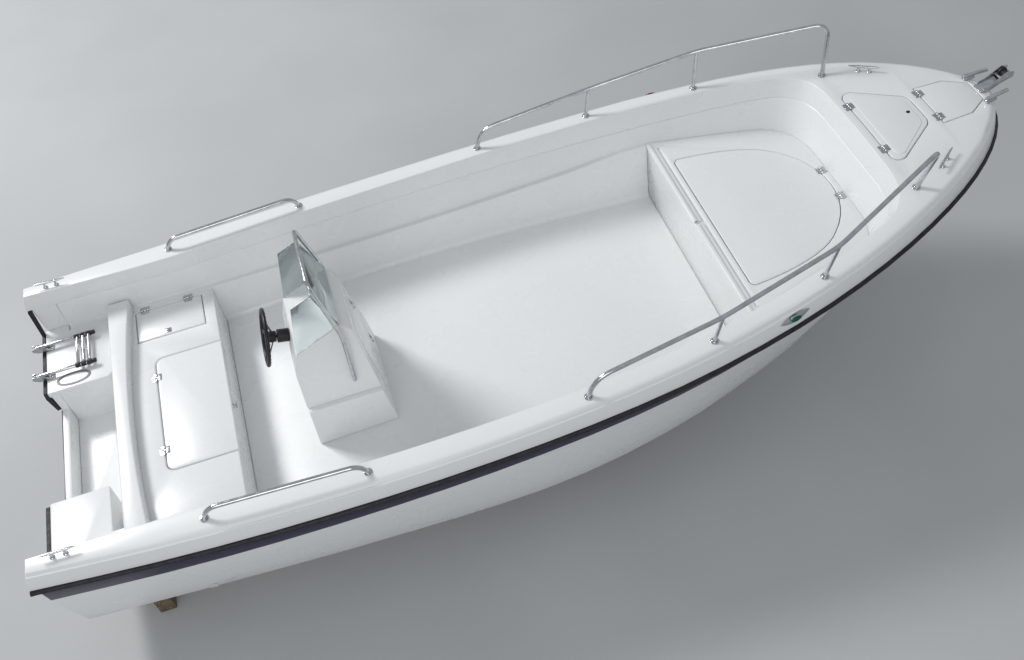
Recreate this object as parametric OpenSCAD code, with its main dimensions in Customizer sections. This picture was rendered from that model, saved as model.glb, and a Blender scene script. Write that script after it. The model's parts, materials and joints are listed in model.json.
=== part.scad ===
// Open glass-fibre work boat ashore on timber blocks, with a centre console.
// Millimetres. The drawing frame of the functions has x forward from the transom, y to port and
// z up from the stern gunwale; place() moves every piece into the part's own frame, whose origin
// is on the ground under the middle of the boat.

/* [Hull] */
// Length of the deck from the transom to its tip
deck_length = 5484; // [5440:2:5520]
// Half breadth of the deck edge at its widest
deck_half_beam = 1077; // [1060:1:1090]
// Half breadth of the deck edge at the transom
stern_half_beam = 975; // [960:1:990]
// Distance forward of the transom where the deck is widest
widest_x = 2000; // [1900:10:2100]
// Height of the deck skirt, from the deck edge to the rub rail, amidships
skirt_drop = 104; // [96:1:112]
// Height of the deck skirt at the bow
skirt_drop_bow = 114; // [106:1:120]
// How far the skirt leans out
skirt_out = 30; // [26:1:36]
// How far the skirt's after ends lean aft
stern_lean = 32; // [28:1:36]
// Depth of the keel below the stern gunwale
keel_depth = 900; // [885:1:920]

/* [Cockpit] */
// Height of the seat, stern platforms and side ledges below the stern gunwale
seat_depth = 312; // [305:1:320]
// Height of the cockpit floor at the seat, below the stern gunwale
floor_depth_aft = 600; // [590:1:610]
// Height of the cockpit floor at the forward bulkhead
floor_depth_fwd = 505; // [495:1:515]
// Height of the forward platform below the stern gunwale
platform_depth = 115; // [108:1:122]
// Where the seat front stands
seat_front_x = 1000; // [985:1:1015]
// Where the forward bulkhead stands
bulkhead_x = 3745; // [3735:1:3755]
// Where the foredeck begins
coaming_x = 4690; // [4680:1:4700]
// Half width of the motor well
well_half_width = 380; // [370:1:390]
// Height of the transom's cut-out below the stern gunwale
transom_cut_depth = 460; // [450:1:470]

/* [Console] */
// Half width of the console at the floor
console_half_width = 320; // [310:1:330]
// Half width of the console's upper body
console_body_half_width = 285; // [278:1:292]
// Aft face of the console
console_aft_x = 1400; // [1390:1:1410]
// Front of the console at the floor
console_front_x = 1845; // [1835:1:1855]
// Outside diameter of the steering wheel
wheel_diameter = 320; // [310:1:330]
// Rake of the steering column from level, in degrees
column_rake = 14; // [10:1:18]

/* [Fittings] */
// Outside diameter of the stainless rail tube
rail_tube = 25; // [22:1:28]
// Height of the stern grab rails above the deck
grab_rail_height = 72; // [64:1:84]
// Gap round the lids
lid_gap = 6; // [5:1:8]
// Height of the timber bearers under the keel
bearer_height = 150; // [140:1:160]

/* [Hidden] */

$fn = 32;
white = [0.93, 0.93, 0.91];
steel = [0.75, 0.76, 0.78];
navy = [0.06, 0.07, 0.20];
black = [0.05, 0.05, 0.05];
glass_grey = [0.35, 0.38, 0.40, 0.5];
timber = [0.55, 0.43, 0.29];

// The part's frame: middle of the overall length, and the ground
aft_most = -68;
fore_most = 5600;
mid_x = (aft_most + fore_most) / 2;
ground_z = -keel_depth - bearer_height;
module place() translate([-mid_x, 0, -ground_z]) children();
module both_sides() { children(); mirror([0, 1, 0]) children(); }

// Smooth curve through a table of [x, value] rows
function row(t, x, i = 0) = i >= len(t) - 2 || x < t[i + 1][0] ? i : row(t, x, i + 1);
function slope(t, i) =
  let (a = max(i - 1, 0), b = min(i + 1, len(t) - 1)) (t[b][1] - t[a][1]) / (t[b][0] - t[a][0]);
function curve(t, x) =
  let (i = row(t, x), h = t[i + 1][0] - t[i][0], u = min(max((x - t[i][0]) / h, 0), 1))
  t[i][1] * (1 + 2 * u) * pow(1 - u, 2) + slope(t, i) * h * u * pow(1 - u, 2)
  + t[i + 1][1] * u * u * (3 - 2 * u) + slope(t, i + 1) * h * u * u * (u - 1);

// Lines of the boat, each [distance forward of the transom, value]
SHEER = [[0, -12], [800, -36], [1600, -30], [2400, -8], [3200, 38], [3800, 98], [4300, 160],
  [4800, 222], [5150, 248], [5470, 258]];
GUNWALE_WIDTH = [[0, 90], [800, 148], [1600, 136], [2400, 128], [3200, 115], [4500, 108]];
LEDGE_Z = [[0, -seat_depth - 1.3], [seat_front_x, -seat_depth - 1.3], [1740, -325], [2400, -300],
  [3200, -210], [bulkhead_x, -platform_depth], [4700, -platform_depth]];
LEDGE_Y = [[0, 868], [seat_front_x, 880], [1740, 900], [2400, 890], [3200, 832],
  [bulkhead_x, 760], [4100, 680], [4450, 590]];
FLOOR_Y = [[900, 842], [1740, 850], [2400, 838], [2900, 808], [3200, 778], [3745, 722]];
CHINE_Y = [[30, 885], [760, 940], [1670, 972], [2570, 960], [3250, 893], [3820, 750],
  [4170, 622], [4800, 320], [5150, 135], [5400, 14]];
CHINE_Z = [[30, -680], [760, -672], [1670, -698], [2570, -725], [3250, -662], [3820, -592],
  [4170, -548], [4800, -390], [5150, -235], [5400, -60]];
KEEL_Z = [[60, -keel_depth], [1500, -keel_depth], [2600, -keel_depth], [3400, 12 - keel_depth],
  [4000, -840], [4500, -735], [4900, -570], [5150, -410], [5330, -200]];

function sheer(x) = curve(SHEER, x);
function deck_half(x) = x < widest_x
  ? deck_half_beam - (deck_half_beam - stern_half_beam) * pow((widest_x - x) / widest_x, 1.8)
  : deck_half_beam * pow(max(0, 1 - pow((x - widest_x) / (deck_length - widest_x), 2.6)), 0.63);
function gunwale_inner(x) = deck_half(x) - curve(GUNWALE_WIDTH, x);
function floor_z(x) = -floor_depth_aft
  + (floor_depth_aft - floor_depth_fwd) * (x - seat_front_x) / (bulkhead_x - seat_front_x);
function drop(x) = skirt_drop + (skirt_drop_bow - skirt_drop) * pow(max(0, x / deck_length), 4);

// Stations bunch towards the bow, where the plan turns quickly
stations = 30;
fit = 0.3;
function along(i) = sin(90 * i / stations);
stem_half = 9;
function deck_x(i) = (deck_length - 1) * along(i);
function edge_point(x) = [x, max(deck_half(x), stem_half)];
function unit(v) = v / norm(v);
function edge_normal(x) = let (
    a = edge_point(max(x - 6, 0)), b = edge_point(min(x + 6, deck_length - 0.5)), d = unit(b - a))
  x > deck_length - 4 ? [1, 0] : [-d[1], d[0]];
// A point out from the deck edge by out and down from the sheer by down, with y not below the stem
function edge_at(i, out, down) = let (
    x = deck_x(i), p = edge_point(x) + out * edge_normal(x))
  [i == 0 ? 0 : p[0], i == stations ? stem_half : max(p[1], stem_half), sheer(x) - down];
function line_at(i, ty, tz, x0, x1, inset = 0) = let (x = x0 + (x1 - x0) * along(i))
  [x, max(stem_half, curve(ty, x) - inset), curve(tz, x)];

// One half ring of the hull, from the rub rail down to the keel
function topside(i) = edge_at(i, skirt_out - 12, drop(deck_x(i)));
function chine(i) = line_at(i, CHINE_Y, CHINE_Z, 30, 5400);
function flat_chine(i) = let (c = chine(i), w = 38 * (c[1] - stem_half) / 900)
  [c[0], c[1] - w, c[2] - w / 5];
function keel(i) = let (x = 60 + (5330 - 60) * along(i))
    [x, stem_half + 9 * (1 - along(i)), curve(KEEL_Z, x)];
function mix(a, b, u) = a * (1 - u) + b * u;
// The topsides flare gently outwards at the bow, and the bottom is a little full
function side_mid(i, u) = let (m = mix(chine(i), topside(i), u))
  [m[0], max(stem_half, m[1] - 70 * pow(along(i), 6) * 4 * u * (1 - u) * (1 - along(i) * 0.8)
    + 16 * 4 * u * (1 - u) * (1 - pow(along(i), 3))), m[2]];
function bottom_mid(i, u) = let (m = mix(keel(i), flat_chine(i), u))
  [m[0], m[1], m[2] - 14 * 4 * u * (1 - u) * (1 - along(i))];
// A point on the topsides, down from the deck's lower edge, and the lower edge of the stripe
rub_height = 28;
stripe_height = 134;
stripe_height_bow = 60;
function band(i, down) = let (t = topside(i)) t + down * unit(side_mid(i, 0.55) - t);
function stripe_low(i) = rub_height + mix(stripe_height, stripe_height_bow, deck_x(i) / deck_length);
function hull_half(i) = [topside(i), band(i, rub_height), band(i, stripe_low(i)), side_mid(i, 0.55),
  side_mid(i, 0.28), chine(i), flat_chine(i), bottom_mid(i, 0.5), keel(i)];

function flip(p) = [p[0], -p[1], p[2]];
function reverse(v) = [for (k = [len(v) - 1:-1:0]) v[k]];
function full(half) = concat(half, [for (p = reverse(half)) flip(p)]);

// A closed solid through a list of rings, each a half and its mirror image. Seen from the last
// ring's end, each ring runs clockwise. The caps are strips across, so that they stay flat.
module rings_solid(rings) {
  n = len(rings[0]);
  m = len(rings);
  points = [for (r = rings) each r];
  sides = [for (i = [0:m - 2], k = [0:n - 1]) let (a = i * n + k, b = i * n + (k + 1) % n)
    each [[a, b, a + n], [b, b + n, a + n]]];
  far = (m - 1) * n;
  caps = [for (k = [0:n / 2 - 2]) each [
    [n - 1 - k, n - 2 - k, k + 1, k], [far + k, far + k + 1, far + n - 2 - k, far + n - 1 - k]]];
  polyhedron(points = points, faces = concat(caps, sides));
}

module hull_block() rings_solid([for (i = [0:stations]) full(hull_half(i))]);

// The deck's outer form: leaning skirt, rounded edge and slightly cambered top
camber = 26;
// Where the skirt's section bends, as shares of how far it leans out and of its depth
knee_out = 0.4;
knee_down = 0.2;
function skirt_point(i, out, down) = let (p = edge_at(i, out, down), q = edge_at(i + 1, out, down))
  i > 0 ? p : p - (q - p) * stern_lean * down / skirt_drop / (q[0] - p[0]);
function deck_half_ring(i) = let (x = deck_x(i), d = drop(x)) [
  [min(x, deck_length - 30), 0.5, sheer(x) + camber * deck_half(x) / deck_half_beam],
  edge_at(i, -deck_round, 0), skirt_point(i, -8, 5), skirt_point(i, 3, 20),
  skirt_point(i, skirt_out * knee_out, d * knee_down), skirt_point(i, skirt_out, d), topside(i)];
module deck_block() rings_solid([for (i = [0:stations]) full(deck_half_ring(i))]);

// Height of the deck at [x, y], and pieces that stand on it, tilted to its surface
deck_round = 28;
function deck_z(x, y) = let (n = edge_normal(x), w = deck_half(x + deck_round * n[0]) - deck_round * n[1],
    t = min(1, abs(y) / w)) sheer(x + deck_round * n[0] * t) + camber * deck_half(x) / deck_half_beam * (1 - t);
module on_deck(x, y) translate([x, y, deck_z(x, y) + fit]) rotate([
  atan2(deck_z(x, y + 20) - deck_z(x, y - 20), 40), -atan2(deck_z(x + 20, y) - deck_z(x - 20, y), 40),
      0]) children();

// Plan of the cockpit at the gunwale and at the ledge: [x, y] from the stern to the middle of
// the foredeck's edge, with a rounded corner
corner_steps = 7;
side_steps = 24;
function bezier(a, b, c, u) = a * pow(1 - u, 2) + b * 2 * u * (1 - u) + c * u * u;
function gunwale_plan(grow) = let (
    x1 = 4490, y1 = gunwale_inner(x1), s = (y1 - gunwale_inner(x1 - 40)) / 40, xe = coaming_x + grow)
  concat(
    [for (k = [0:side_steps]) let (x = -120 + (x1 + 120) * k / side_steps)
        [x, gunwale_inner(max(x, 0)) + grow]],
    [for (k = [1:corner_steps]) bezier([x1, y1 + grow], [xe, y1 + grow + s * (xe - x1)], [xe, 330],
        k / corner_steps)]);
function ledge_plan(grow) = let (
    x1 = 4360, y1 = curve(LEDGE_Y, x1), s = (y1 - curve(LEDGE_Y, x1 - 40)) / 40,
    xe = coaming_x - 78 + grow)
  concat(
    [for (k = [0:side_steps]) let (x = -120 + (x1 + 120) * k / side_steps) [x, curve(LEDGE_Y, x) + grow]],
    [for (k = [1:corner_steps]) bezier([x1, y1 + grow], [xe, y1 + grow + s * (xe - x1)], [xe, 240],
        k / corner_steps)]);
function ring_at(plan, zs) = [for (k = [0:len(plan) - 1]) [plan[k][0], plan[k][1], zs[k]]];

// The hollow between the bulwarks, from above the gunwale to the ledge, seat and platforms
module upper_hollow(grow) {
  g = gunwale_plan(grow);
  l = ledge_plan(grow);
  above = ring_at([for (p = gunwale_plan(grow + 14)) p], [for (p = g) sheer(p[0]) + 120]);
  edge = ring_at([for (p = gunwale_plan(grow + 12)) p], [for (p = g) sheer(p[0]) + camber]);
  lip = ring_at(g, [for (p = g) sheer(p[0]) - 14]);
  low = ring_at(l, [for (p = l) curve(LEDGE_Z, p[0]) - grow]);
  rings_solid([for (r = [low, lip, edge, above]) full(r)]);
}

// The hollow below the ledges: the cockpit's lower walls and sloping floor
ledge_width = 32;
function low_hollow_half(x, grow, top) = let (
    zl = curve(LEDGE_Z, x) + top, yl = curve(LEDGE_Y, x) - ledge_width + grow,
    yf = curve(FLOOR_Y, x) + grow, zf = floor_z(x) - grow)
  [[x, yl, zl], [x, yf, zf + 18], [x, yf - 18, zf]];
module lower_hollow(grow) {
  x0 = seat_front_x - grow;
  x1 = bulkhead_x + grow;
  n = 14;
  rings_solid([for (k = [0:n]) let (x = x0 + (x1 - x0) * k / n) full(low_hollow_half(x, grow, 20))]);
}

shell = 30;

// Spaces inside the hull that the stern moulding, the seat and the forward platform fill
stern_x = 395;
stern_half = 836;
box_floor = -620;
quarter_z = -305;
quarter_lip = 37;
transom_thick = 60;
platform_slab = 42;
module centred_box(x0, x1, half, z0, z1) translate([x0, -half, z0]) cube([x1 - x0, 2 * half, z1 - z0]);
module stern_space() {
  centred_box(transom_thick, seat_front_x, stern_half, box_floor, 400);
  centred_box(-100, 140, gunwale_inner(0), quarter_z - quarter_lip, 400);
  centred_box(-100, 140, well_half_width, -transom_cut_depth, 400);
}
function platform_plan() = let (l = ledge_plan(0))
  concat([[bulkhead_x, curve(LEDGE_Y, bulkhead_x)]], [for (p = l) if (p[0] > bulkhead_x + 40) p]);
module mirror_polygon(half) polygon(concat(half, [for (p = reverse(half)) [p[0], -p[1]]]));
module mirrored_prism(half, z0, z1) translate([0, 0, z0]) linear_extrude(z1 - z0) mirror_polygon(half);

// Lid outlines, half of each as [x, y], grown by g
function arc(c, r, a0, a1, n) = [for (k = [0:n]) let (a = a0 + (a1 - a0) * k / n) c + r * [cos(a), sin(a)]];
platform_lid_x = 3842;
platform_lid_end = 4572;
function platform_lid_half(g) = concat(
  [[platform_lid_x - g, 0]],
  arc([platform_lid_x + 28, 516], 28 + g, 180, 98, 4),
  [for (k = [1:9]) bezier([platform_lid_x + 40, 543 + g], [4290, 505 + g], [4424, 352 + g], k / 9)],
  [for (k = [1:6]) bezier([4424, 352 + g], [platform_lid_end + g, 200 + g], [platform_lid_end + g, 0],
      k / 6)]);
foredeck_lid_x = 4752;
foredeck_lid_end = 5056;
function foredeck_lid_half(g) = concat(
  [[foredeck_lid_x - g, 0]],
  arc([foredeck_lid_x + 42, 262], 42 + g, 180, 60, 6),
  arc([foredeck_lid_end - 78, 78], 78 + g, 60, 0, 5),
  [[foredeck_lid_end + g, 0]]);
anchor_lid_x = 5122;
anchor_lid_end = 5402;
function anchor_lid_half(g) = [[anchor_lid_x - g, 0], [anchor_lid_x - g, 158 + g],
  [5290 + g / 2, 150 + g], [anchor_lid_end + g, 76 + g / 2], [anchor_lid_end + g, 0]];
seat_lid_x = 620;
seat_lid_half_y = 400;
seat_lip = 74;
function seat_lid_half(g) = concat([[seat_lid_x - g, 0]],
  arc([seat_lid_x + 45, seat_lid_half_y - 45], 45 + g, 180, 90, 5),
  [[seat_front_x, seat_lid_half_y + g], [seat_front_x, 0]]);
// Side locker lid: aft end, inboard edge, forward end, outboard edge
side_lid = [535, 575, 928, 812];
module side_lid_prism(g, z0, z1) translate([side_lid[0] - g, side_lid[1] - g, z0])
  cube([side_lid[2] - side_lid[0] + 2 * g, side_lid[3] - side_lid[1] + 2 * g, z1 - z0]);
lid_thick = 22;
landing = 34;

// Heights of the foredeck's crown, and a level plane tilted to lie on it between x0 and x1
function crown(x) = sheer(x) + camber * deck_half(x) / deck_half_beam;
module on_foredeck(x0, x1) translate([x0, 0, crown(x0)])
  rotate([0, -atan2(crown(x1) - crown(x0), x1 - x0), 0]) translate([-x0, 0, 0]) children();
foredeck_lid_lift = -3;
anchor_lid_lift = -1.5;
module on_foredeck_lid() on_foredeck(foredeck_lid_x, foredeck_lid_end)
    translate([0, 0, foredeck_lid_lift]) children();
module on_anchor_lid() on_foredeck(anchor_lid_x, anchor_lid_end) translate([0, 0, anchor_lid_lift])
    children();

// Pockets of the lockers under the lids
module platform_pocket() centred_box(platform_lid_x + landing, 4420, 330, -430, 0);
module foredeck_pocket() centred_box(foredeck_lid_x + landing, 4960, 130, -260, 300);
module anchor_pocket() centred_box(anchor_lid_x + landing, 5300, 80, 20, 320);
module seat_pocket() centred_box(seat_lid_x + landing, seat_front_x - 60, seat_lid_half_y - landing, -560, 0);
module side_pocket() side_lid_prism(-landing, -540, 0);
module foredeck_recesses() {
  on_foredeck_lid() mirrored_prism(foredeck_lid_half(lid_gap), -lid_thick, 90);
  on_anchor_lid() mirrored_prism(anchor_lid_half(lid_gap), -lid_thick, 90);
  foredeck_pocket();
  anchor_pocket();
}

// Outer moulding: V bottom, hard chine and flared topsides, hollow above the cockpit
module hull_moulding() {
  color(white) place() difference() {
    hull_block();
    upper_hollow(shell);
    lower_hollow(shell);
    stern_space();
    mirrored_prism(platform_plan(), -platform_depth - platform_slab, 300);
    platform_pocket();
    foredeck_pocket();
    anchor_pocket();
    at_drain() translate([0, 0, -32]) cylinder(r = drain_r + fit, h = 80);
    eye_ring(fit);
  }
}

// Inner moulding: bulwark lining, ledges, lower walls and floor
module cockpit_liner() {
  color(white) place() difference() {
    intersection() {
      hull_block();
      union() { upper_hollow(shell); lower_hollow(shell); }
    }
    upper_hollow(0);
    lower_hollow(0);
    stern_space();
    mirrored_prism(platform_plan(), -platform_depth - platform_slab, 300);
    centred_box(bulkhead_x, bulkhead_x + 200, 900, -900, -platform_depth - platform_slab);
    platform_pocket();
    foredeck_pocket();
  }
}

// Deck moulding: gunwales, leaning skirt, foredeck and its coaming
module deck_moulding() {
  color(white) place() difference() {
    deck_block();
    upper_hollow(0);
    foredeck_recesses();
  }
}

// Forward bulkhead and casting platform with its gutter and locker opening
gutter_x = 3796;
module forward_platform() {
  color(white) place() difference() {
    union() {
      mirrored_prism(platform_plan(), -platform_depth - platform_slab, -platform_depth);
      intersection() {
        lower_hollow(shell);
        centred_box(bulkhead_x, bulkhead_x + shell, 900, -900, -platform_depth - platform_slab);
      }
      centred_box(bulkhead_x, bulkhead_x + 24, 735, -platform_depth - 1, -platform_depth + 10);
    }
    mirrored_prism(platform_lid_half(lid_gap), -platform_depth - lid_thick, 0);
    platform_pocket();
    centred_box(gutter_x, gutter_x + 16, 690, -platform_depth - 7, 0);
    centred_box(bulkhead_x - 1, gutter_x + 1, 14, -platform_depth - 7, 0);
  }
}

// Seat across the stern, with openings under its two lids
module aft_seat() {
  color(white) place() difference() {
    centred_box(stern_x, seat_front_x, stern_half, box_floor, -seat_depth);
    mirrored_prism(seat_lid_half(lid_gap), -seat_depth - lid_thick, 0);
    centred_box(seat_front_x - lid_thick, seat_front_x + 1, seat_lid_half_y + lid_gap,
      -seat_depth - seat_lip - lid_gap, 0);
    side_lid_prism(lid_gap, -seat_depth - lid_thick, 0);
    seat_pocket();
    side_pocket();
  }
}

// Low curved backrest across the boat, behind the seat
seat_back_top = -225;
function seat_back_front(y) = 474 + 40 * pow(y / 750, 2);
module seat_back() {
  color(white) place() mirrored_prism(
    concat([[stern_x, 0], [stern_x, 862]], [for (y = [862:-107.75:0]) [seat_back_front(y), y]]),
    -seat_depth, seat_back_top);
}

// Quarter platforms and motor well, with the slot on the starboard side
slot_x = 315;
well_floor = -585;
module stern_moulding() {
  color(white) place() difference() {
    union() {
      centred_box(transom_thick, stern_x, stern_half, box_floor, quarter_z);
      centred_box(0, 140, gunwale_inner(0) - 1, quarter_z - quarter_lip, quarter_z);
    }
    centred_box(-1, stern_x - 22, well_half_width, well_floor, 0);
    translate([slot_x, -668, -560]) cube([stern_x - 22 - slot_x, 668, 560]);
    translate([stern_x, well_half_width - 2, well_floor]) rotate([0, 0, 45])
        cube([70, 70, 1200], center = true);
  }
}

// A tube or bar swept along a path, with a section of n sides
function across(d, ref) = unit(cross(d, ref));
function tangent(p, i) = unit(p[min(i + 1, len(p) - 1)] - p[max(i - 1, 0)]);
module ring_chain(rings) {
  n = len(rings[0]);
  m = len(rings);
  sides = [for (i = [0:m - 2], k = [0:n - 1]) let (a = i * n + k, b = i * n + (k + 1) % n)
    each [[a, b, a + n], [b, b + n, a + n]]];
  polyhedron([for (r = rings) each r],
    concat([[for (k = [n - 1:-1:0]) k], [for (k = [0:n - 1]) (m - 1) * n + k]], sides));
}
module sweep(path, r, n = 10, ref = [0, 0, 1], turn = 0) ring_chain([for (i = [0:len(path) - 1])
  let (d = tangent(path, i), u = across(d, ref), v = cross(u, d))
    [for (k = [0:n - 1]) path[i] + r * (cos(turn + 360 * k / n) * u + sin(turn + 360 * k / n) * v)]]);
// A path with its corners rounded: each point is [position, how far the bend reaches]
bend_steps = 5;
function bent(p) = [for (i = [0:len(p) - 1]) let (c = p[i][0], r = p[i][1])
  if (r == 0) c else
    for (k = [0:bend_steps]) bezier(c + r * unit(p[i - 1][0] - c), c, c + r * unit(p[i + 1][0] - c),
        k / bend_steps)];

// A band on the topsides from the port quarter round the bow to the starboard one. Its inner
// face lies on the hull's own facets: each ring runs down the inner side first.
module side_band(rings) {
  n = len(rings[0]);
  m = len(rings);
  sides = [for (i = [0:m - 2], k = [0:n - 1]) let (a = i * n + k, b = i * n + (k + 1) % n)
    each [[a, a + n, b], [b, a + n, b + n]]];
  polyhedron([for (r = rings) each r],
    concat([[for (k = [0:n - 1]) k], [for (k = [n - 1:-1:0]) (m - 1) * n + k]], sides));
}
function outward(i) = let (n = edge_normal(deck_x(i))) [n[0], n[1], 0];
function flipped(ring) = [for (p = ring) flip(p)];

// Black rubber rail round the sides and across the quarters
rub_out = 16;
quarter_rub = 24;
quarter_rub_x = -quarter_rub / 2 - fit;
// How far forward the raked transom lies at a height
function transom_x(z) = let (a = topside(0), b = chine(0)) (b[0] - a[0]) * (a[2] - z) / (a[2] - b[2]);
skirt_inset = 12;
function rub_ring(i) = let (o = outward(i), low = band(i, rub_height), face = rub_out + skirt_inset, t =
    topside(i))
  [low + fit * o - [0, 0, 0.4], t + fit * o - [0, 0, fit], t + (face * 0.7) * o - [0, 0, fit],
   t + face * o - [0, 0, rub_height * 0.35], t + face * o - [0, 0, rub_height * 0.65],
   t + (face * 0.7) * o - [0, 0, rub_height]];
module rub_rail() {
  z = sheer(0) - skirt_drop - rub_height / 2;
  edge_z = quarter_z - quarter_lip / 2;
  well_edge = well_half_width + 14;
  first = [for (p = rub_ring(0)) p - [quarter_rub, 0, 0]];
  color(black) place() {
    side_band(concat([flipped(first)], [for (i = [0:stations]) flipped(rub_ring(i))],
      [for (i = [stations:-1:0]) rub_ring(i)], [first]));
    both_sides() sweep([for (q = [[stern_half_beam + skirt_out - 10, z], [gunwale_inner(0) - 2, z],
      [gunwale_inner(0) - 26, edge_z], [well_edge, edge_z], [well_edge, quarter_z - quarter_lip - 6],
      [well_edge, -transom_cut_depth]])
      [quarter_rub_x + (q[1] == -transom_cut_depth ? transom_x(q[1]) : 0), q[0], q[1]]],
      quarter_rub / sqrt(2), 4, [1, 0, 0], 45);
  }
}

// Navy stripe on the topsides under the rubber rail, and across the motor cut-out
stripe_proud = 4;
function stripe_ring(i) = let (o = outward(i), a = band(i, rub_height) - [0, 0, 1], b =
    band(i, stripe_low(i)))
  [b + fit * o, a + fit * o, a + stripe_proud * o, b + stripe_proud * o];
module hull_stripe() color(navy) place() {
  side_band(concat([for (i = [0:stations]) flipped(stripe_ring(i))],
    [for (i = [stations:-1:0]) stripe_ring(i)]));
  rotate([90, 0, 0]) linear_extrude(2 * well_half_width, center = true) polygon([
    for (q = [[4, fit], [50, fit], [50, stripe_proud], [4, stripe_proud]])
      let (z = -transom_cut_depth - q[0]) [transom_x(z) - q[1], z]]);
}

// Two-horned mooring cleat along x, standing on z = 0
cleat_length = 172;
cleat_span = 62;
module cleat() {
  for (x = [-cleat_span / 2, cleat_span / 2]) translate([x, 0, 0]) {
    cylinder(r = 7, h = 34);
    cylinder(r = 14, h = 7);
  }
  for (s = [-1, 1]) translate([0, 0, 32]) rotate([0, s * 90, 0]) {
    cylinder(r = 7, h = cleat_length / 2 - 26);
    translate([0, 0, cleat_length / 2 - 26]) cylinder(r1 = 7, r2 = 4, h = 26);
  }
}
stern_cleat = [160, 924];
bow_cleat = [4965, 430];
bow_cleat_turn = -38;
module cleats() color(steel) place() both_sides() {
  on_deck(stern_cleat[0], stern_cleat[1]) cleat();
  on_deck(bow_cleat[0], bow_cleat[1]) rotate([0, 0, bow_cleat_turn]) cleat();
}

// Stainless tube rails on round feet
module foot(p) on_deck(p[0], p[1]) translate([0, 0, 0.2]) cylinder(r = 22, h = 7);
function on_gunwale(x, y, up) = [x, y, deck_z(x, y) + up];
GRAB_FEET = [[844, 964], [1642, 1004]];
module grab_rail() {
  a = GRAB_FEET[0];
  b = GRAB_FEET[1];
  sweep(bent([[on_gunwale(a[0], a[1], 5), 0], [on_gunwale(a[0] + 26, a[1], grab_rail_height), 60],
    [on_gunwale(b[0] - 26, b[1], grab_rail_height), 60], [on_gunwale(b[0], b[1], 5), 0]]),
    rail_tube / 2, 10, [0, 1, 0]);
  for (f = GRAB_FEET) foot(f);
}
module grab_rails() color(steel) place() both_sides() grab_rail();
// Bow rail posts: foot x, foot y, height of the rail there, lean outboard
BOW_POSTS = [[2762, 1004, 124, 6], [3442, 952, 178, 14], [4085, 832, 230, 34], [4752, 520, 296, 66]];
function post_top(p) = on_gunwale(p[0] + 34, p[1] + p[3], p[2]);
module bow_rail() {
  first = BOW_POSTS[0];
  last = BOW_POSTS[3];
  sweep(bent([[on_gunwale(first[0], first[1], 5), 0], [on_gunwale(first[0] + 40, first[1] + 4, first[2]), 90],
    [post_top(BOW_POSTS[1]), 60], [post_top(BOW_POSTS[2]), 60],
    [on_gunwale(last[0] + 50, last[1] + last[3], last[2]), 90], [on_gunwale(last[0], last[1], 5), 0]]),
    rail_tube / 2, 10, [0, 1, 0]);
  for (k = [1, 2]) let (p = BOW_POSTS[k])
    sweep([on_gunwale(p[0], p[1], 5), post_top(p)], rail_tube / 2 - 2, 10, [0, 1, 0]);
  for (p = BOW_POSTS) foot(p);
}
module bow_rails() color(steel) place() both_sides() bow_rail();

// Eye-shaped navigation lights on the skirt. Places on it are given by the station, which may
// lie between two, and by the share of the way from its knee to its lower edge.
function skirt_at(u, w) = let (i = floor(u), a = [for (k = [i, i + 1]) let (d = drop(deck_x(k)))
    mix(skirt_point(k, skirt_out * knee_out, d * knee_down), skirt_point(k, skirt_out, d), w)])
  mix(a[0], a[1], u - i);
function skirt_normal(u, w) = unit(cross(skirt_at(u + 0.1, w) - skirt_at(u - 0.1, w),
  skirt_at(u, w + 0.1) - skirt_at(u, w - 0.1)));
light_station = 14.95;
light_level = 0.34;
light_reach = 0.42;
light_half = 0.31;
light_thick = 4;
function light_ring(s) = let (u = light_station + light_reach * s, h = light_half * (1 - s * s) + 0.02,
    a = light_level - h, b = light_level + h, n = skirt_normal(light_station, light_level))
  [skirt_at(u, a) + light_thick * n, skirt_at(u, b) + light_thick * n, skirt_at(u, b) + fit * n,
      skirt_at(u, a) + fit * n];
module nav_light() {
  p = skirt_at(light_station, light_level);
  n = skirt_normal(light_station, light_level);
  ring_chain([for (s = [-1, -0.75, -0.5, -0.25, 0, 0.25, 0.5, 0.75, 1]) light_ring(s)]);
  translate(p) facing(n) translate([0, 0, 1]) hull() for (y = [-18, 18]) translate([0, y, 0])
      cylinder(r1 = 15, r2 = 10, h = 17);
}
module nav_lights() color(steel) place() both_sides() nav_light();

// Lids
module platform_hatch() color(white) place()
  mirrored_prism(platform_lid_half(0), -platform_depth - lid_thick + 1, -platform_depth);
module foredeck_hatch() color(white) place() on_foredeck_lid()
  mirrored_prism(foredeck_lid_half(0), -lid_thick + 1, 0);
module anchor_hatch() color(white) place() on_anchor_lid()
  mirrored_prism(anchor_lid_half(0), -lid_thick + 1, 0);
module seat_hatch() color(white) place() {
  mirrored_prism(seat_lid_half(0), -seat_depth - lid_thick + 1, -seat_depth);
  centred_box(seat_front_x - lid_thick + 1, seat_front_x, seat_lid_half_y,
    -seat_depth - seat_lip, -seat_depth - lid_thick + 2);
}
module side_locker_lid() color(white) place() side_lid_prism(0, -seat_depth - lid_thick + 1, -seat_depth);

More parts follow.
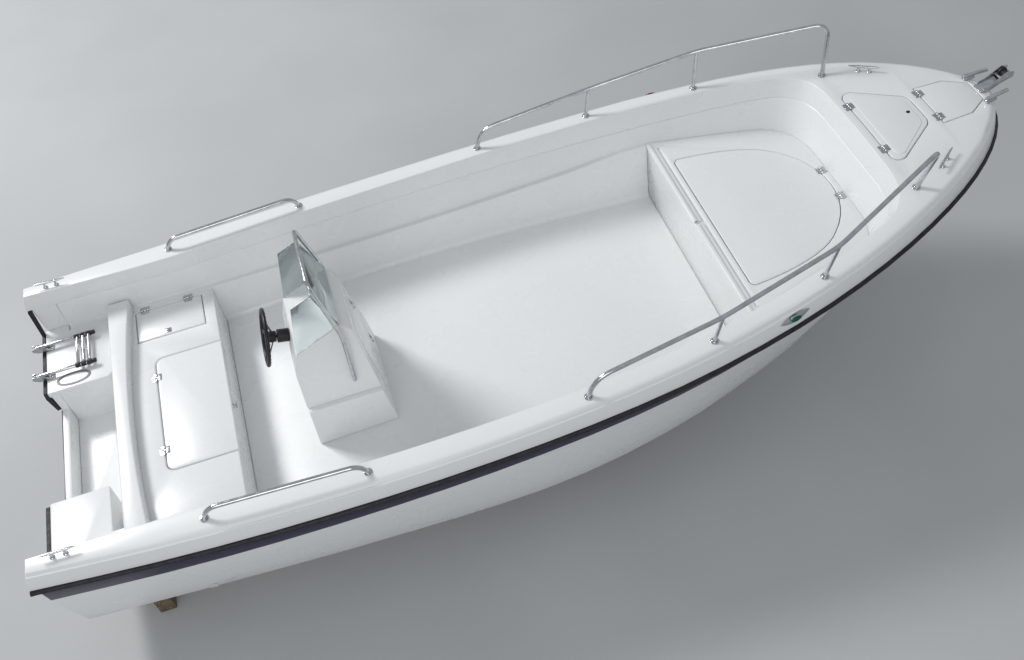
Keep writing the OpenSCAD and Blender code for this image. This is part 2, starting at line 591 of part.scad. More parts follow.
// Strap hinges: the axis is along y, pin_up above the surface; the lid lies towards +x
hinge_w = 54;
leaf = 27;
leaf_thick = 2.5;
knuckle_r = 4.5;
pin_r = 2;
module hinge_knuckle(y0, y1) translate([0, y0, knuckle_r]) rotate([-90, 0, 0])
    cylinder(r = knuckle_r, h = y1 - y0);
module hinge_base() {
  difference() {
    translate([-leaf, -hinge_w / 2, 0]) cube([leaf, hinge_w, leaf_thick]);
    translate([-knuckle_r - 1, -hinge_w / 6 - 0.3, -1]) cube([knuckle_r + 2, hinge_w / 3 + 0.6, 9]);
  }
  hinge_knuckle(-hinge_w / 2, -hinge_w / 6 - 0.3);
  hinge_knuckle(hinge_w / 6 + 0.3, hinge_w / 2);
  translate([0, -hinge_w / 2, knuckle_r]) rotate([-90, 0, 0]) cylinder(r = pin_r, h = hinge_w);
}
module hinge_leaf() difference() {
  union() {
    translate([knuckle_r + 1, -hinge_w / 2 + 4, 0]) cube([leaf - knuckle_r - 1, hinge_w - 8, leaf_thick]);
    translate([0, -hinge_w / 6 + 0.3, 0]) cube([knuckle_r + 2, hinge_w / 3 - 0.6, leaf_thick]);
    hinge_knuckle(-hinge_w / 6 + 0.3, hinge_w / 6 - 0.3);
  }
  translate([0, -hinge_w / 2, knuckle_r]) rotate([-90, 0, 0]) cylinder(r = pin_r + 0.15, h = hinge_w);
}
module platform_hinge_places() for (y = [-116, 116])
  translate([platform_lid_end + lid_gap / 2, y, -platform_depth]) rotate([0, 0, 180]) children();
module foredeck_hinge_places() on_foredeck_lid() for (y = [-195, 195])
  translate([foredeck_lid_x - lid_gap / 2, y, 0]) children();
module anchor_hinge_places() on_anchor_lid() for (y = [-108, 108])
  translate([anchor_lid_x - lid_gap / 2, y, 0]) children();
module seat_hinge_places() for (y = [-262, 262])
  translate([seat_lid_x - lid_gap / 2, y, -seat_depth]) children();
module side_hinge_places() for (x = [590, 850])
  translate([x, side_lid[3] + lid_gap / 2, -seat_depth]) rotate([0, 0, -90]) children();
module platform_hinges() color(steel) place() platform_hinge_places() hinge_leaf();
module foredeck_hinges() color(steel) place() foredeck_hinge_places() hinge_leaf();
module anchor_hinges() color(steel) place() anchor_hinge_places() hinge_leaf();
module seat_hinges() color(steel) place() seat_hinge_places() hinge_leaf();
module side_locker_hinges() color(steel) place() side_hinge_places() hinge_leaf();
module hinge_bases() color(steel) place() {
  platform_hinge_places() hinge_base();
  foredeck_hinge_places() hinge_base();
  anchor_hinge_places() hinge_base();
  seat_hinge_places() hinge_base();
  side_hinge_places() hinge_base();
  on_front() door_hinge_places() hinge_base();
}

// Latches and the foredeck lock
latch_y = -62;
module seat_latch() color(steel) place()
  translate([seat_front_x, latch_y, -seat_depth - 48]) rotate([0, 90, 0]) {
    cylinder(r = 17, h = 4);
    cylinder(r = 6, h = 16);
    translate([-4, -20, 14]) cube([8, 40, 6]);
  }
module side_locker_latch() color(steel) place()
  translate([(side_lid[0] + side_lid[2]) / 2 - 20, side_lid[1] + 26, -seat_depth]) {
    translate([-19, -16, 0]) cube([38, 32, 4]);
    translate([-13, -5, 3]) cube([26, 10, 7]);
  }
module hatch_lock() color(black) place() on_foredeck_lid() translate([foredeck_lid_end - 58, 0, 0]) {
    cylinder(r = 11, h = 4);
    cylinder(r = 6, h = 6);
  }

// Console: a wide foot, and a raked upper body
console_seam = -312;
console_top_half = 219;
console_knee = [222, 20];
dash_low = [1402, -85];
dash_top = [1440, 50];
cowl_top = [1708, 175];
cowl_knee = 118;
// The front is one raked plane; front(z) is its x at height z
front_rake = 7.5;
function front(z) = console_front_x + (-floor_depth_fwd - 70 - z) * tan(front_rake);
module side_extrude(profile, half) rotate([90, 0, 0]) translate([0, 0, -half]) linear_extrude(2 * half)
    polygon(profile);
module front_extrude(half) translate([console_aft_x - 50, 0, 0]) rotate([90, 0, 90])
  linear_extrude(console_front_x - console_aft_x + 100)
  polygon(concat(half, [for (p = reverse(half)) [-p[0], p[1]]]));
module console_base() {
  low = floor_z(console_aft_x) + 0.3;
  low_front = floor_z(console_front_x) + 0.3;
  color(white) place() difference() {
    intersection() {
      side_extrude([[console_aft_x - 8, low], [console_aft_x, console_seam],
        [front(console_seam), console_seam], [front(low_front), low_front]], console_half_width + 20);
      front_extrude([[console_half_width + 10, low - 10], [console_half_width - 8, console_seam + 10]]);
    }
    console_door_recess();
    console_locker();
  }
}
module console_body() color(white) place() difference() {
  intersection() {
    side_extrude([[console_aft_x - 4, console_seam], dash_low, dash_top, cowl_top,
        [front(cowl_knee), cowl_knee],
      [front(console_seam), console_seam]], console_body_half_width);
    front_extrude([[console_body_half_width, console_seam - 1], [console_body_half_width, console_seam],
      console_knee, [console_top_half, cowl_top[1] + 10]]);
  }
  console_door_recess();
  console_locker();
}

// Door in the raked front of the console, hung on its port edge, with the locker behind it
door_half = 148;
door_top = 15;
door_low = -517;
door_thick = 16;
door_corner = 45;
// Children lie in the front's plane: x is port, y is up the face and z is out of it
module on_front() translate([front(0), 0, 0]) rotate([0, -front_rake, 0]) rotate([90, 0, 90]) children();
function rounded(x0, y0, x1, y1, r) = concat(arc([x1 - r, y1 - r], r, 0, 90, 6),
    arc([x0 + r, y1 - r], r, 90, 180, 6),
  arc([x0 + r, y0 + r], r, 180, 270, 6), arc([x1 - r, y0 + r], r, 270, 360, 6));
module door_plate(g, z0, z1) translate([0, 0, z0]) linear_extrude(z1 - z0)
  polygon(rounded(-door_half - g, door_low - g, door_half + g, door_top + g, door_corner + g));
module console_door_recess() on_front() door_plate(lid_gap, -door_thick, 40);
module console_locker() on_front() translate([0, 0, -260]) linear_extrude(300)
  polygon(rounded(30 - door_half, door_low + 30, door_half - 30, door_top - 30, 20));
module door_hinge_places() for (y = [door_low + 110, door_top - 110])
  translate([door_half + lid_gap / 2, y, 0]) rotate([0, 0, 180]) children();
module console_door() color(white) place() on_front() {
  door_plate(0, 1 - door_thick, 0);
  door_hinge_places() hinge_leaf();
}

// Tinted windscreen of three flat panes
pane = 5;
module quad_pane(a, b, c, d, n) polyhedron(
  concat([a, b, c, d], [for (p = [a, b, c, d]) p + pane * n]),
  [[0, 1, 2, 3], [7, 6, 5, 4], [1, 0, 4, 5], [2, 1, 5, 6], [3, 2, 6, 7], [0, 3, 7, 4]]);
screen_half = 216;
screen_lean = 0.012;
function screen_point(x, z) = [x, screen_half - screen_lean * (z - dash_top[1]), z];
SCREEN_AFT = [screen_point(1444, 52), screen_point(1500, 374)];
SCREEN_FWD = [screen_point(1706, 176), screen_point(1615, 424)];
module windscreen() color(glass_grey) place() {
  quad_pane(flip(SCREEN_FWD[0]), flip(SCREEN_FWD[1]), SCREEN_FWD[1], SCREEN_FWD[0], [-0.94, 0, -0.34]);
  both_sides() quad_pane(SCREEN_FWD[0], SCREEN_FWD[1], SCREEN_AFT[1], SCREEN_AFT[0], [0, -1, 0]);
}
// Stainless hoop outside the screen
frame_tube = 22;
FRAME_HALF = [[[1686, 266, -202], 0], [[1686, 285, -196], 14], [[1698, 262, 142], 60],
    [[1620, 214, 506], 50]];
module screen_frame() color(steel) place()
  sweep(bent(concat(FRAME_HALF, [for (p = reverse(FRAME_HALF)) [flip(p[0]), p[1]]])), frame_tube / 2, 10,
      [1, 0, 0]);

// Helm: the wheel turns on the hub's shaft, both along the raked column
wheel_centre = [1300, 0, 20];
module on_column() translate(wheel_centre) rotate([0, 90 + column_rake, 0]) children();
dash_slope = (dash_top[0] - dash_low[0]) / (dash_top[1] - dash_low[1]);
hub_r = 36;
column_length = (dash_low[0] + (wheel_centre[2] - dash_low[1]) * dash_slope - wheel_centre[0])
  / (cos(column_rake) + dash_slope * sin(column_rake))
  - hub_r * abs(tan(column_rake - atan(dash_slope))) - fit;
hub_start = 62;
module helm_hub() color(black) place() on_column() {
  translate([0, 0, hub_start]) cylinder(r = hub_r, h = column_length - hub_start);
  translate([0, 0, 8]) cylinder(r = 8, h = 60);
}
rim_r = 11;
wheel_dish = 44;
spoke_start = 18;
spoke_run = wheel_diameter / 2 - rim_r - spoke_start;
module steering_wheel() color(black) place() on_column() {
  rotate_extrude($fn = 64) translate([wheel_diameter / 2 - rim_r, 0]) circle(r = rim_r, $fn = 20);
  difference() {
    union() {
      translate([0, 0, -6]) cylinder(r = 30, h = 60);
      for (a = [0, 120, 240]) rotate([0, 0, a]) translate([spoke_start, 0, wheel_dish])
        rotate([0, atan2(wheel_dish, spoke_run), 0]) translate([0, -11, -4])
            cube([norm([spoke_run, wheel_dish]), 22, 8]);
    }
    translate([0, 0, 4]) cylinder(r = 8.3, h = 60);
  }
}

// Stem head: roller in its bracket, and two fairleads
roller_at = [5564, 0, 322];
bracket_foot = 5412;
bracket_base = 268;
bracket_tray = 296;
cheek_inner = 29;
cheek_thick = 5;
stem_z = crown(bracket_foot) + fit;
CHEEK = [[bracket_foot + 14, stem_z], [5600, 312], [5600, 345], [5560, 356], [5470, bracket_tray],
  [bracket_foot + 14, 284]];
TRAY = [[bracket_foot, stem_z], [bracket_foot, bracket_base], [5520, bracket_tray], [5540, bracket_tray],
  [5472, stem_z]];
module bow_roller_bracket() color(steel) place() {
  both_sides() translate([0, cheek_inner + cheek_thick, 0]) rotate([90, 0, 0])
    linear_extrude(cheek_thick) polygon(CHEEK);
  difference() {
    side_extrude(TRAY, cheek_inner + cheek_thick);
    translate(roller_at) rotate([90, 0, 0]) cylinder(r = 34, h = 200, center = true);
  }
  translate(roller_at) rotate([90, 0, 0]) cylinder(r = 5, h = 72, center = true);
}
module bow_roller() color(black) place() translate(roller_at) rotate([90, 0, 0]) difference() {
  union() {
    for (s = [-1, 1]) translate([0, 0, s * 19]) cylinder(r = 27, h = 16, center = true);
    cylinder(r = 18, h = 40, center = true);
  }
  cylinder(r = 5.3, h = 80, center = true);
}
module bow_fairleads() color(steel) place() both_sides() on_deck(5394, 112) rotate([0, -5, -6]) {
  translate([0, -14, 0.2]) cube([62, 28, 15]);
  translate([2, 0, 23]) rotate([0, 90, 0]) cylinder(r = 11, h = 136);
  translate([6, -9, 12]) cube([52, 18, 10]);
}

// Folding swim ladder, stowed flat on the port quarter
ladder_y = [502, 728];
ladder_pin = [-54, quarter_z + 33];
ladder_tube = 22;
ladder_reach = 300;
ladder_grip = 26;
module ladder_mounts() color(steel) place() for (y = ladder_y) translate([0, y, quarter_z]) {
  for (s = [-1, 1]) translate([0, s * 14 + 2, 0]) rotate([90, 0, 0]) linear_extrude(4)
    polygon([[52, 0.3], [6, 0.3], [-36, 3], [-64, 20], [-68, 33], [-62, 45], [-44, 45], [52, 9]]);
  translate([6, -22, 0]) cube([46, 44, 3]);
  translate([ladder_pin[0], 0, ladder_pin[1] - quarter_z]) rotate([90, 0, 0])
      cylinder(r = 4, h = 32, center = true);
}
module swim_ladder() color(steel) place() difference() {
  union() {
    for (y = ladder_y) translate([ladder_pin[0] - 9, y, ladder_pin[1]]) rotate([0, 90, 0])
      cylinder(r = ladder_tube / 2, h = ladder_reach - ladder_grip + 9 - ladder_pin[0]);
    for (x = [196, 229, 262]) translate([x, ladder_y[0], ladder_pin[1]]) rotate([-90, 0, 0])
      cylinder(r = 10, h = ladder_y[1] - ladder_y[0]);
  }
  translate([ladder_pin[0], 400, ladder_pin[1]]) rotate([-90, 0, 0]) cylinder(r = 4.3, h = 500);
}
module ladder_grips() color(black) place() for (y = ladder_y)
    translate([ladder_reach - ladder_grip, y, ladder_pin[1]])
  rotate([0, 90, 0]) cylinder(r = ladder_tube / 2 + 1.5, h = ladder_grip);

// Grey oval ring on the port quarter
module step_ring() color([0.6, 0.6, 0.6]) place() translate([154, 446, quarter_z]) linear_extrude(2.5)
    difference() {
  polygon([for (a = [0:12:348]) [100 * cos(a), 48 * sin(a)]]);
  polygon([for (a = [0:12:348]) [82 * cos(a), 33 * sin(a)]]);
}

// Drain fitting in the starboard topside, and the towing eye on the stem
function low_side_at(u, w) = let (i = floor(u),
    a = [for (k = [i, i + 1]) mix(chine(k), side_mid(k, 0.28), w)]) mix(a[0], a[1], u - i);
drain_station = 2.36;
drain_level = 0.19;
module facing(n) rotate([0, 0, atan2(n[1], n[0])]) rotate([0, 90 - asin(n[2]), 0]) children();
module at_drain() let (p = low_side_at(drain_station, drain_level),
    n = unit(cross(low_side_at(drain_station + 0.1, drain_level) - p,
        p - low_side_at(drain_station, drain_level + 0.1))))
  mirror([0, 1, 0]) translate(p) facing(n) children();
drain_r = 17;
module skin_fitting() color(white) place() at_drain() {
  translate([0, 0, -30]) cylinder(r = drain_r, h = 34);
  translate([0, 0, 0.5]) cylinder(r = 26, h = 6);
}
module eye_ring(grow) translate([5380, 0, -110]) rotate([90, 0, 0])
  rotate_extrude() translate([30, 0]) circle(r = 6 + grow);
module bow_eye() color(steel) place() eye_ring(0);

// Timber bearers across under the keel, with chocks cut to the bottom's shape
// Each bearer: [distance forward of the transom, half length]
BEARERS = [[330, 750], [3250, 520]];
bearer_width = 90;
chock_y = 340;
chock_width = 80;
function bearer_top(x) = curve(KEEL_Z, x - bearer_width / 2) - fit;
module timber_bearers() color(timber) place() for (b = BEARERS)
  centred_box(b[0] - bearer_width / 2, b[0] + bearer_width / 2, b[1], ground_z, bearer_top(b[0]));
module timber_chocks() color(timber) place() difference() {
  for (b = BEARERS) both_sides() translate([b[0] - chock_width / 2, chock_y, bearer_top(b[0])])
    cube([chock_width, 160, 110]);
  hull_block();
}

hull_moulding();
cockpit_liner();
deck_moulding();
forward_platform();
aft_seat();
seat_back();
stern_moulding();
rub_rail();
hull_stripe();
cleats();
console_door();
grab_rails();
bow_rails();
nav_lights();
platform_hatch();
foredeck_hatch();
anchor_hatch();
seat_hatch();
side_locker_lid();
platform_hinges();
foredeck_hinges();
anchor_hinges();
seat_hinges();
side_locker_hinges();
hinge_bases();
seat_latch();
side_locker_latch();
hatch_lock();
console_base();
console_body();
windscreen();
screen_frame();
helm_hub();
steering_wheel();
bow_roller_bracket();
bow_roller();
bow_fairleads();
ladder_mounts();
swim_ladder();
ladder_grips();
step_ring();
skin_fitting();
bow_eye();
timber_bearers();
timber_chocks();
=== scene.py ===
# %% [markdown]
# An open glass-fibre work boat stands on timber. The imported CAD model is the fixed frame: it gives
# every moulding, rail and lid its place and size in metres. This file dresses it: it softens the
# mouldings' edges, rebuilds the small metalwork in finer form and gives every surface a material.

# %% Load the frame
import bpy
import bmesh
import json
import math
from mathutils import Matrix, Vector


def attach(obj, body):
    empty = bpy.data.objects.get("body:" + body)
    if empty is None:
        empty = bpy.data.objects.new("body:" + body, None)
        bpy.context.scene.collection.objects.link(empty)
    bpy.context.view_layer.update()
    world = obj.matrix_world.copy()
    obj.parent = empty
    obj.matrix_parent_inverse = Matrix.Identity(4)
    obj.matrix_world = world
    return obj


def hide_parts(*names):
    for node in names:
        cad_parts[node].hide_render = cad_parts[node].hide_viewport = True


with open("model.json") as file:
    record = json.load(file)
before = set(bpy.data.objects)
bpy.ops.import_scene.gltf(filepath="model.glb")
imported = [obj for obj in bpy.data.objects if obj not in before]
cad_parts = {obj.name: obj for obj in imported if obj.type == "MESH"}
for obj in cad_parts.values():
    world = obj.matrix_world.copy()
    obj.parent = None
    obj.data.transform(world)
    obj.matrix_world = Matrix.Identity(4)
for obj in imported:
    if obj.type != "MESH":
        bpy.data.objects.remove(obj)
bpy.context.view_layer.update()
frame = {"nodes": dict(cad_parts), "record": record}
BODY_OF = {node: body for body, nodes in frame["record"]["behaviour"]["bodies"].items() for node in nodes}
MM = 0.001

# %% [markdown]
# The camera stands high over the starboard quarter and looks down on the boat. Its place was
# worked out from points that mirror each other across the boat, so a render can be laid over the
# photograph. A camera looks along its own -Z, so its axes are right, up and back.

# %% Camera
CAMERA_AT = Vector((-0.817, -4.111, 5.362))
CAMERA_RIGHT = Vector((0.9498, -0.2902, -0.1166)).normalized()
CAMERA_UP = Vector((0.295, 0.7074, 0.6423)).normalized()
camera_data = bpy.data.cameras.new("photo_camera")
camera_data.sensor_width = 36
camera_data.lens = 38.67
camera = bpy.data.objects.new("photo_camera", camera_data)
bpy.context.scene.collection.objects.link(camera)
camera_axes = Matrix((CAMERA_RIGHT, CAMERA_UP, CAMERA_RIGHT.cross(CAMERA_UP))).transposed()
camera.matrix_world = Matrix.Translation(CAMERA_AT) @ camera_axes.to_4x4()
bpy.context.scene.camera = camera
print("camera at", CAMERA_AT)

# %% [markdown]
# Colours are written as sRGB hex, the way a paint chart gives them, and one function turns them
# to the linear values that the shader wants. Another adds a node with its settings and links, so
# that a material reads from top to bottom like a recipe.

# %% Helpers for materials
def linear(colour):
    parts = [int(colour[k:k + 2], 16) / 255 for k in (1, 3, 5)]
    return [c / 12.92 if c <= 0.04045 else ((c + 0.055) / 1.055) ** 2.4 for c in parts] + [1.0]


def add_node(tree, kind, inputs=(), **settings):
    """Adds a node; inputs holds (socket name or number, value or another node's output)."""
    node = tree.nodes.new(kind)
    for name, value in settings.items():
        setattr(node, name, value)
    for socket, value in inputs:
        if isinstance(value, bpy.types.NodeSocket):
            tree.links.new(value, node.inputs[socket])
        else:
            node.inputs[socket].default_value = value
    return node


def start_material(name, **shader_values):
    material = bpy.data.materials.new(name)
    material.use_nodes = True
    tree = material.node_tree
    shader = tree.nodes["Principled BSDF"]
    for socket, value in shader_values.items():
        shader.inputs[socket.replace("_", " ")].default_value = value
    place = add_node(tree, "ShaderNodeTexCoord").outputs["Object"]
    return material, tree, shader, place


def blotches(tree, place, size, detail=3, stretch=(1, 1, 1)):
    """A cloudy value between 0 and 1; its blotches are about size metres across."""
    scaled = add_node(tree, "ShaderNodeMapping", [("Vector", place), ("Scale", [s / size for s in stretch])])
    return add_node(tree, "ShaderNodeTexNoise", [("Vector", scaled.outputs[0]), ("Scale", 1), ("Detail", detail)]).outputs[0]


def between(tree, value, low, high, start=0.35, end=0.65):
    """Spreads the middle of a cloudy value over the range from low to high."""
    return add_node(tree, "ShaderNodeMapRange", [("Value", value), (1, start), (2, end), (3, low), (4, high)]).outputs[0]


def mixed(tree, factor, first, second):
    return add_node(tree, "ShaderNodeMix", [(0, factor), (6, first), (7, second)], data_type="RGBA").outputs[2]


def raise_surface(tree, shader, height, distance, strength=1.0):
    bump = add_node(tree, "ShaderNodeBump", [("Height", height), ("Distance", distance), ("Strength", strength)])
    tree.links.new(bump.outputs[0], shader.inputs["Normal"])


MATERIALS = {}

# %% [markdown]
# Gelcoat is a polyester resin sprayed into a polished mould, so the boat's skin is the mould's
# gloss in negative. The eye sees a hard white shine, a faint orange peel a few millimetres wide,
# and long soft waves where the glass fabric prints through. Ashore it also gathers a thin film of
# dust, which dulls it in blotches. The navy stripe is the same resin with a dark pigment.

# %% Gelcoat, white and navy
def gelcoat(name, clean, dusty, gloss, film):
    material, tree, shader, place = start_material(name, Roughness=gloss, IOR=1.53)
    dust = blotches(tree, place, 0.5, 3)
    colour = mixed(tree, between(tree, dust, 0, 1, 0.2, 0.8), linear(clean), linear(dusty))
    tree.links.new(colour, shader.inputs["Base Color"])
    tree.links.new(between(tree, blotches(tree, place, 0.2, 2), gloss, film, 0.2, 0.8), shader.inputs["Roughness"])
    peel = blotches(tree, place, 5 * MM, 1)
    waves = add_node(tree, "ShaderNodeMath", [(0, blotches(tree, place, 0.16, 0)), (1, 5)], operation="MULTIPLY").outputs[0]
    height = add_node(tree, "ShaderNodeMath", [(0, peel), (1, waves)], operation="ADD").outputs[0]
    raise_surface(tree, shader, height, 0.006 * MM)
    MATERIALS[name] = material


gelcoat("white_gelcoat", "#EDEEEE", "#EAEBEA", 0.24, 0.32)
gelcoat("navy_gelcoat", "#0B0E36", "#11153C", 0.2, 0.3)
print("gelcoats", list(MATERIALS))

# %% [markdown]
# The rail round the hull is a black rubber extrusion. Drawn through a die, it is matt and slightly
# grey where it has been rubbed. The bow roller, the wheel's rim and the latches are moulded, so
# they keep a fine grain instead. Each grain is drawn about three times coarser than the real
# one, or nothing of it would show at this distance.

# %% Rubber and moulded plastics
def moulded(name, fresh, worn, smooth, rough, grain, depth):
    material, tree, shader, place = start_material(name)
    wear = between(tree, blotches(tree, place, 0.05, 6), 0, 1)
    tree.links.new(mixed(tree, wear, linear(fresh), linear(worn)), shader.inputs["Base Color"])
    tree.links.new(between(tree, blotches(tree, place, 0.02, 4), smooth, rough), shader.inputs["Roughness"])
    raise_surface(tree, shader, blotches(tree, place, grain, 2), depth)
    MATERIALS[name] = material


moulded("black_rubber", "#111216", "#24252A", 0.48, 0.66, 3 * MM, 0.15 * MM)
moulded("grained_black_plastic", "#0E0E10", "#1B1B1E", 0.38, 0.52, 1.6 * MM, 0.1 * MM)
moulded("wheel_polyurethane", "#0B0B0D", "#17171A", 0.30, 0.46, 1.2 * MM, 0.06 * MM)
moulded("grey_polyamide", "#8E9296", "#7C8084", 0.40, 0.55, 2 * MM, 0.08 * MM)
moulded("white_polyamide", "#DCDDDB", "#CDCECB", 0.34, 0.5, 2 * MM, 0.06 * MM)
print("moulded", len(MATERIALS))

# %% [markdown]
# Rails, cleats and hinges are stainless steel. The tube is polished along its length on a belt, so
# it mirrors the sky with a faint drawn-out haze. The cast and pressed fittings are tumbled and
# look softer. A metal keeps the default IOR, and its colour is the colour of its reflection.

# %% Stainless steel
def stainless(name, bright, dull, smooth, rough, scratch, depth):
    material, tree, shader, place = start_material(name, Metallic=1.0)
    haze = between(tree, blotches(tree, place, 0.04, 5), 0, 1)
    tree.links.new(mixed(tree, haze, linear(bright), linear(dull)), shader.inputs["Base Color"])
    tree.links.new(between(tree, blotches(tree, place, 0.012, 4), smooth, rough), shader.inputs["Roughness"])
    raise_surface(tree, shader, blotches(tree, place, scratch, 2, (0.15, 1, 1)), depth)
    MATERIALS[name] = material


stainless("polished_stainless", "#D3D5D8", "#BFC1C4", 0.07, 0.2, 1.5 * MM, 0.01 * MM)
stainless("tumbled_stainless", "#C6C8CA", "#ADAFB2", 0.2, 0.36, 1.2 * MM, 0.02 * MM)
print("steels", len(MATERIALS))

# %% [markdown]
# The screen is cast acrylic tinted smoke grey. It is clear enough to see the wheel through, and
# its cut edges look darker because the light travels further in them. The lenses of the lights are
# moulded acrylic as well, green to starboard and red to port as every boat carries them.

# %% Acrylic sheet and lenses
def acrylic(name, tint, rough, clearness):
    material, tree, shader, place = start_material(name, IOR=1.49, Transmission_Weight=clearness)
    wiped = between(tree, blotches(tree, place, 0.06, 4), 0, 1)
    tree.links.new(mixed(tree, wiped, linear(tint), linear(tint)), shader.inputs["Base Color"])
    tree.links.new(between(tree, blotches(tree, place, 0.05, 3), rough, rough + 0.05), shader.inputs["Roughness"])
    MATERIALS[name] = material


acrylic("smoked_acrylic", "#C6CED0", 0.02, 0.96)
acrylic("green_lens", "#0C6B43", 0.05, 0.6)
acrylic("red_lens", "#A01318", 0.05, 0.6)
print("acrylics", len(MATERIALS))

# %% [markdown]
# The boat rests on rough-sawn softwood that has lain outdoors. Its grain runs across the boat,
# along Y, in bands a few millimetres wide; the surface has turned silver brown, with darker lines
# where the summer wood stands proud.

# %% Weathered timber
material, tree, shader, place = start_material("weathered_softwood")
grain = blotches(tree, place, 9 * MM, 6, (1, 0.04, 1))
rings = blotches(tree, place, 34 * MM, 3, (1, 0.05, 1))
pale = mixed(tree, between(tree, rings, 0, 1), linear("#8B7A62"), linear("#6E5D47"))
tree.links.new(mixed(tree, between(tree, grain, 0, 1, 0.4, 0.7), pale, linear("#4C4033")), shader.inputs["Base Color"])
tree.links.new(between(tree, grain, 0.75, 0.92), shader.inputs["Roughness"])
raise_surface(tree, shader, grain, 0.8 * MM)
MATERIALS["weathered_softwood"] = material
print("materials", sorted(MATERIALS))

# %% [markdown]
# The stage is plain: a pale floor that keeps the boat's shadow, one large soft lamp where the sun
# stood, high over the port side, and a weaker one behind the camera. The world adds an even sky.
# The lamps add up to a level at which white gelcoat stays below pure white.

# %% Floor and light
bpy.ops.object.select_all(action="DESELECT")
bpy.ops.mesh.primitive_plane_add(size=240, location=(0, 0, 0))
floor = bpy.context.object
floor.name = "studio_floor"
material, tree, shader, place = start_material("floor_paint", Roughness=0.8)
tree.links.new(mixed(tree, between(tree, blotches(tree, place, 1.4, 2), 0, 1), linear("#BFC0C0"), linear("#B9BABA")), shader.inputs["Base Color"])
floor.data.materials.append(material)

world = bpy.data.worlds.new("studio")
bpy.context.scene.world = world
world.use_nodes = True
world.node_tree.nodes["Background"].inputs["Color"].default_value = linear("#EAF0F6")
world.node_tree.nodes["Background"].inputs["Strength"].default_value = 0.48
bpy.context.scene.view_settings.view_transform = "Standard"


def soft_lamp(name, at, size, watts):
    data = bpy.data.lights.new(name, "AREA")
    data.size = size
    data.energy = watts
    lamp = bpy.data.objects.new(name, data)
    bpy.context.scene.collection.objects.link(lamp)
    lamp.location = at
    lamp.rotation_euler = (Vector((0, 0, 0.8)) - Vector(at)).to_track_quat("-Z", "Y").to_euler()


soft_lamp("sun_side", (-7.0, 6.5, 9.0), 3.0, 880)
soft_lamp("camera_side", (-3.0, -7.0, 5.5), 5.0, 150)
print("stage ready")

# %% [markdown]
# A mould has no sharp edge: resin and glass would not wet it out, so every corner of a glass-fibre
# part has a radius of 4 to 15 mm. The CAD solids have sharp ones. Each moulding is copied,
# its loose triangles are merged and flat ones dissolved, and a bevel rounds the edges that turn
# by more than a set angle. The copy then stands for its node.

# %% Helper that softens a CAD solid
def deselect():
    bpy.ops.object.select_all(action="DESELECT")


def make_active(piece):
    deselect()
    piece.select_set(True)
    bpy.context.view_layer.objects.active = piece


def finish_piece(piece, name, material, node, stands_for_node=True, angle=34):
    """Names and shades a piece, gives it its material and hangs it on the body of its node."""
    piece.name = name
    make_active(piece)
    bpy.ops.object.shade_smooth_by_angle(angle=math.radians(angle))
    piece.data.materials.clear()
    piece.data.materials.append(MATERIALS[material])
    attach(piece, BODY_OF[node])
    if stands_for_node:
        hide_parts(node)
    return piece


def merged_copy(node, weld=0.02):
    source = frame["nodes"][node]
    piece = bpy.data.objects.new("copy_of_" + node, source.data.copy())
    bpy.context.scene.collection.objects.link(piece)
    make_active(piece)
    bpy.ops.object.mode_set(mode="EDIT")
    bpy.ops.mesh.select_all(action="SELECT")
    bpy.ops.mesh.remove_doubles(threshold=weld * MM)
    bpy.ops.mesh.dissolve_limited(angle_limit=math.radians(0.4))
    bpy.ops.object.mode_set(mode="OBJECT")
    return piece


# These corners join many edges and fold least with a round mitre.
ARC_CORNERS = ("hull_moulding", "cockpit_liner", "deck_moulding", "forward_platform", "rub_rail",
               "ladder_mounts")


def bevel(piece, width, segments, angle, miter="MITER_SHARP"):
    modifier = piece.modifiers.new("round", "BEVEL")
    modifier.width = width * MM
    modifier.segments = segments
    modifier.limit_method = "ANGLE"
    modifier.angle_limit = math.radians(angle)
    modifier.use_clamp_overlap = False
    modifier.miter_outer = miter
    make_active(piece)
    bpy.ops.object.modifier_apply(modifier="round")


def soften(node, material, width, segments=3, weld=0.02):
    piece = merged_copy(node, weld)
    bevel(piece, width, segments, 40, "MITER_ARC" if node in ARC_CORNERS else "MITER_SHARP")
    return finish_piece(piece, "soft_" + node, material, node)


# %% [markdown]
# The big mouldings come first. The deck gets the widest radius, as on the real gunwale; lids and
# hatches get a small one, because their edge stands close to the rim of their recess.

# %% Mouldings
MOULDINGS = [  # node, material, radius in mm
    ("hull_moulding", "white_gelcoat", 7), ("deck_moulding", "white_gelcoat", 4),
    ("cockpit_liner", "white_gelcoat", 8), ("forward_platform", "white_gelcoat", 6),
    ("aft_seat", "white_gelcoat", 8), ("seat_back", "white_gelcoat", 10),
    ("stern_moulding", "white_gelcoat", 8), ("console_base", "white_gelcoat", 8),
    ("console_body", "white_gelcoat", 8), ("console_door", "white_gelcoat", 1),
    ("platform_hatch", "white_gelcoat", 4), ("foredeck_hatch", "white_gelcoat", 4),
    ("anchor_hatch", "white_gelcoat", 4), ("seat_hatch", "white_gelcoat", 5),
    ("side_locker_lid", "white_gelcoat", 4), ("hull_stripe", "navy_gelcoat", 1),
    ("rub_rail", "black_rubber", 3)]
SEAM = 1.1  # the deck's two halves leave slivers this wide along the middle, which are welded
for node, material_name, radius in MOULDINGS:
    piece = soften(node, material_name, radius, 3, SEAM if node in ("deck_moulding", "console_door") else 0.02)
    print(piece.name, len(piece.data.polygons), "faces")

# %% [markdown]
# The small fittings are castings, pressings and turned parts. Their edges are broken by a
# millimetre or less, which is enough to catch a line of light.

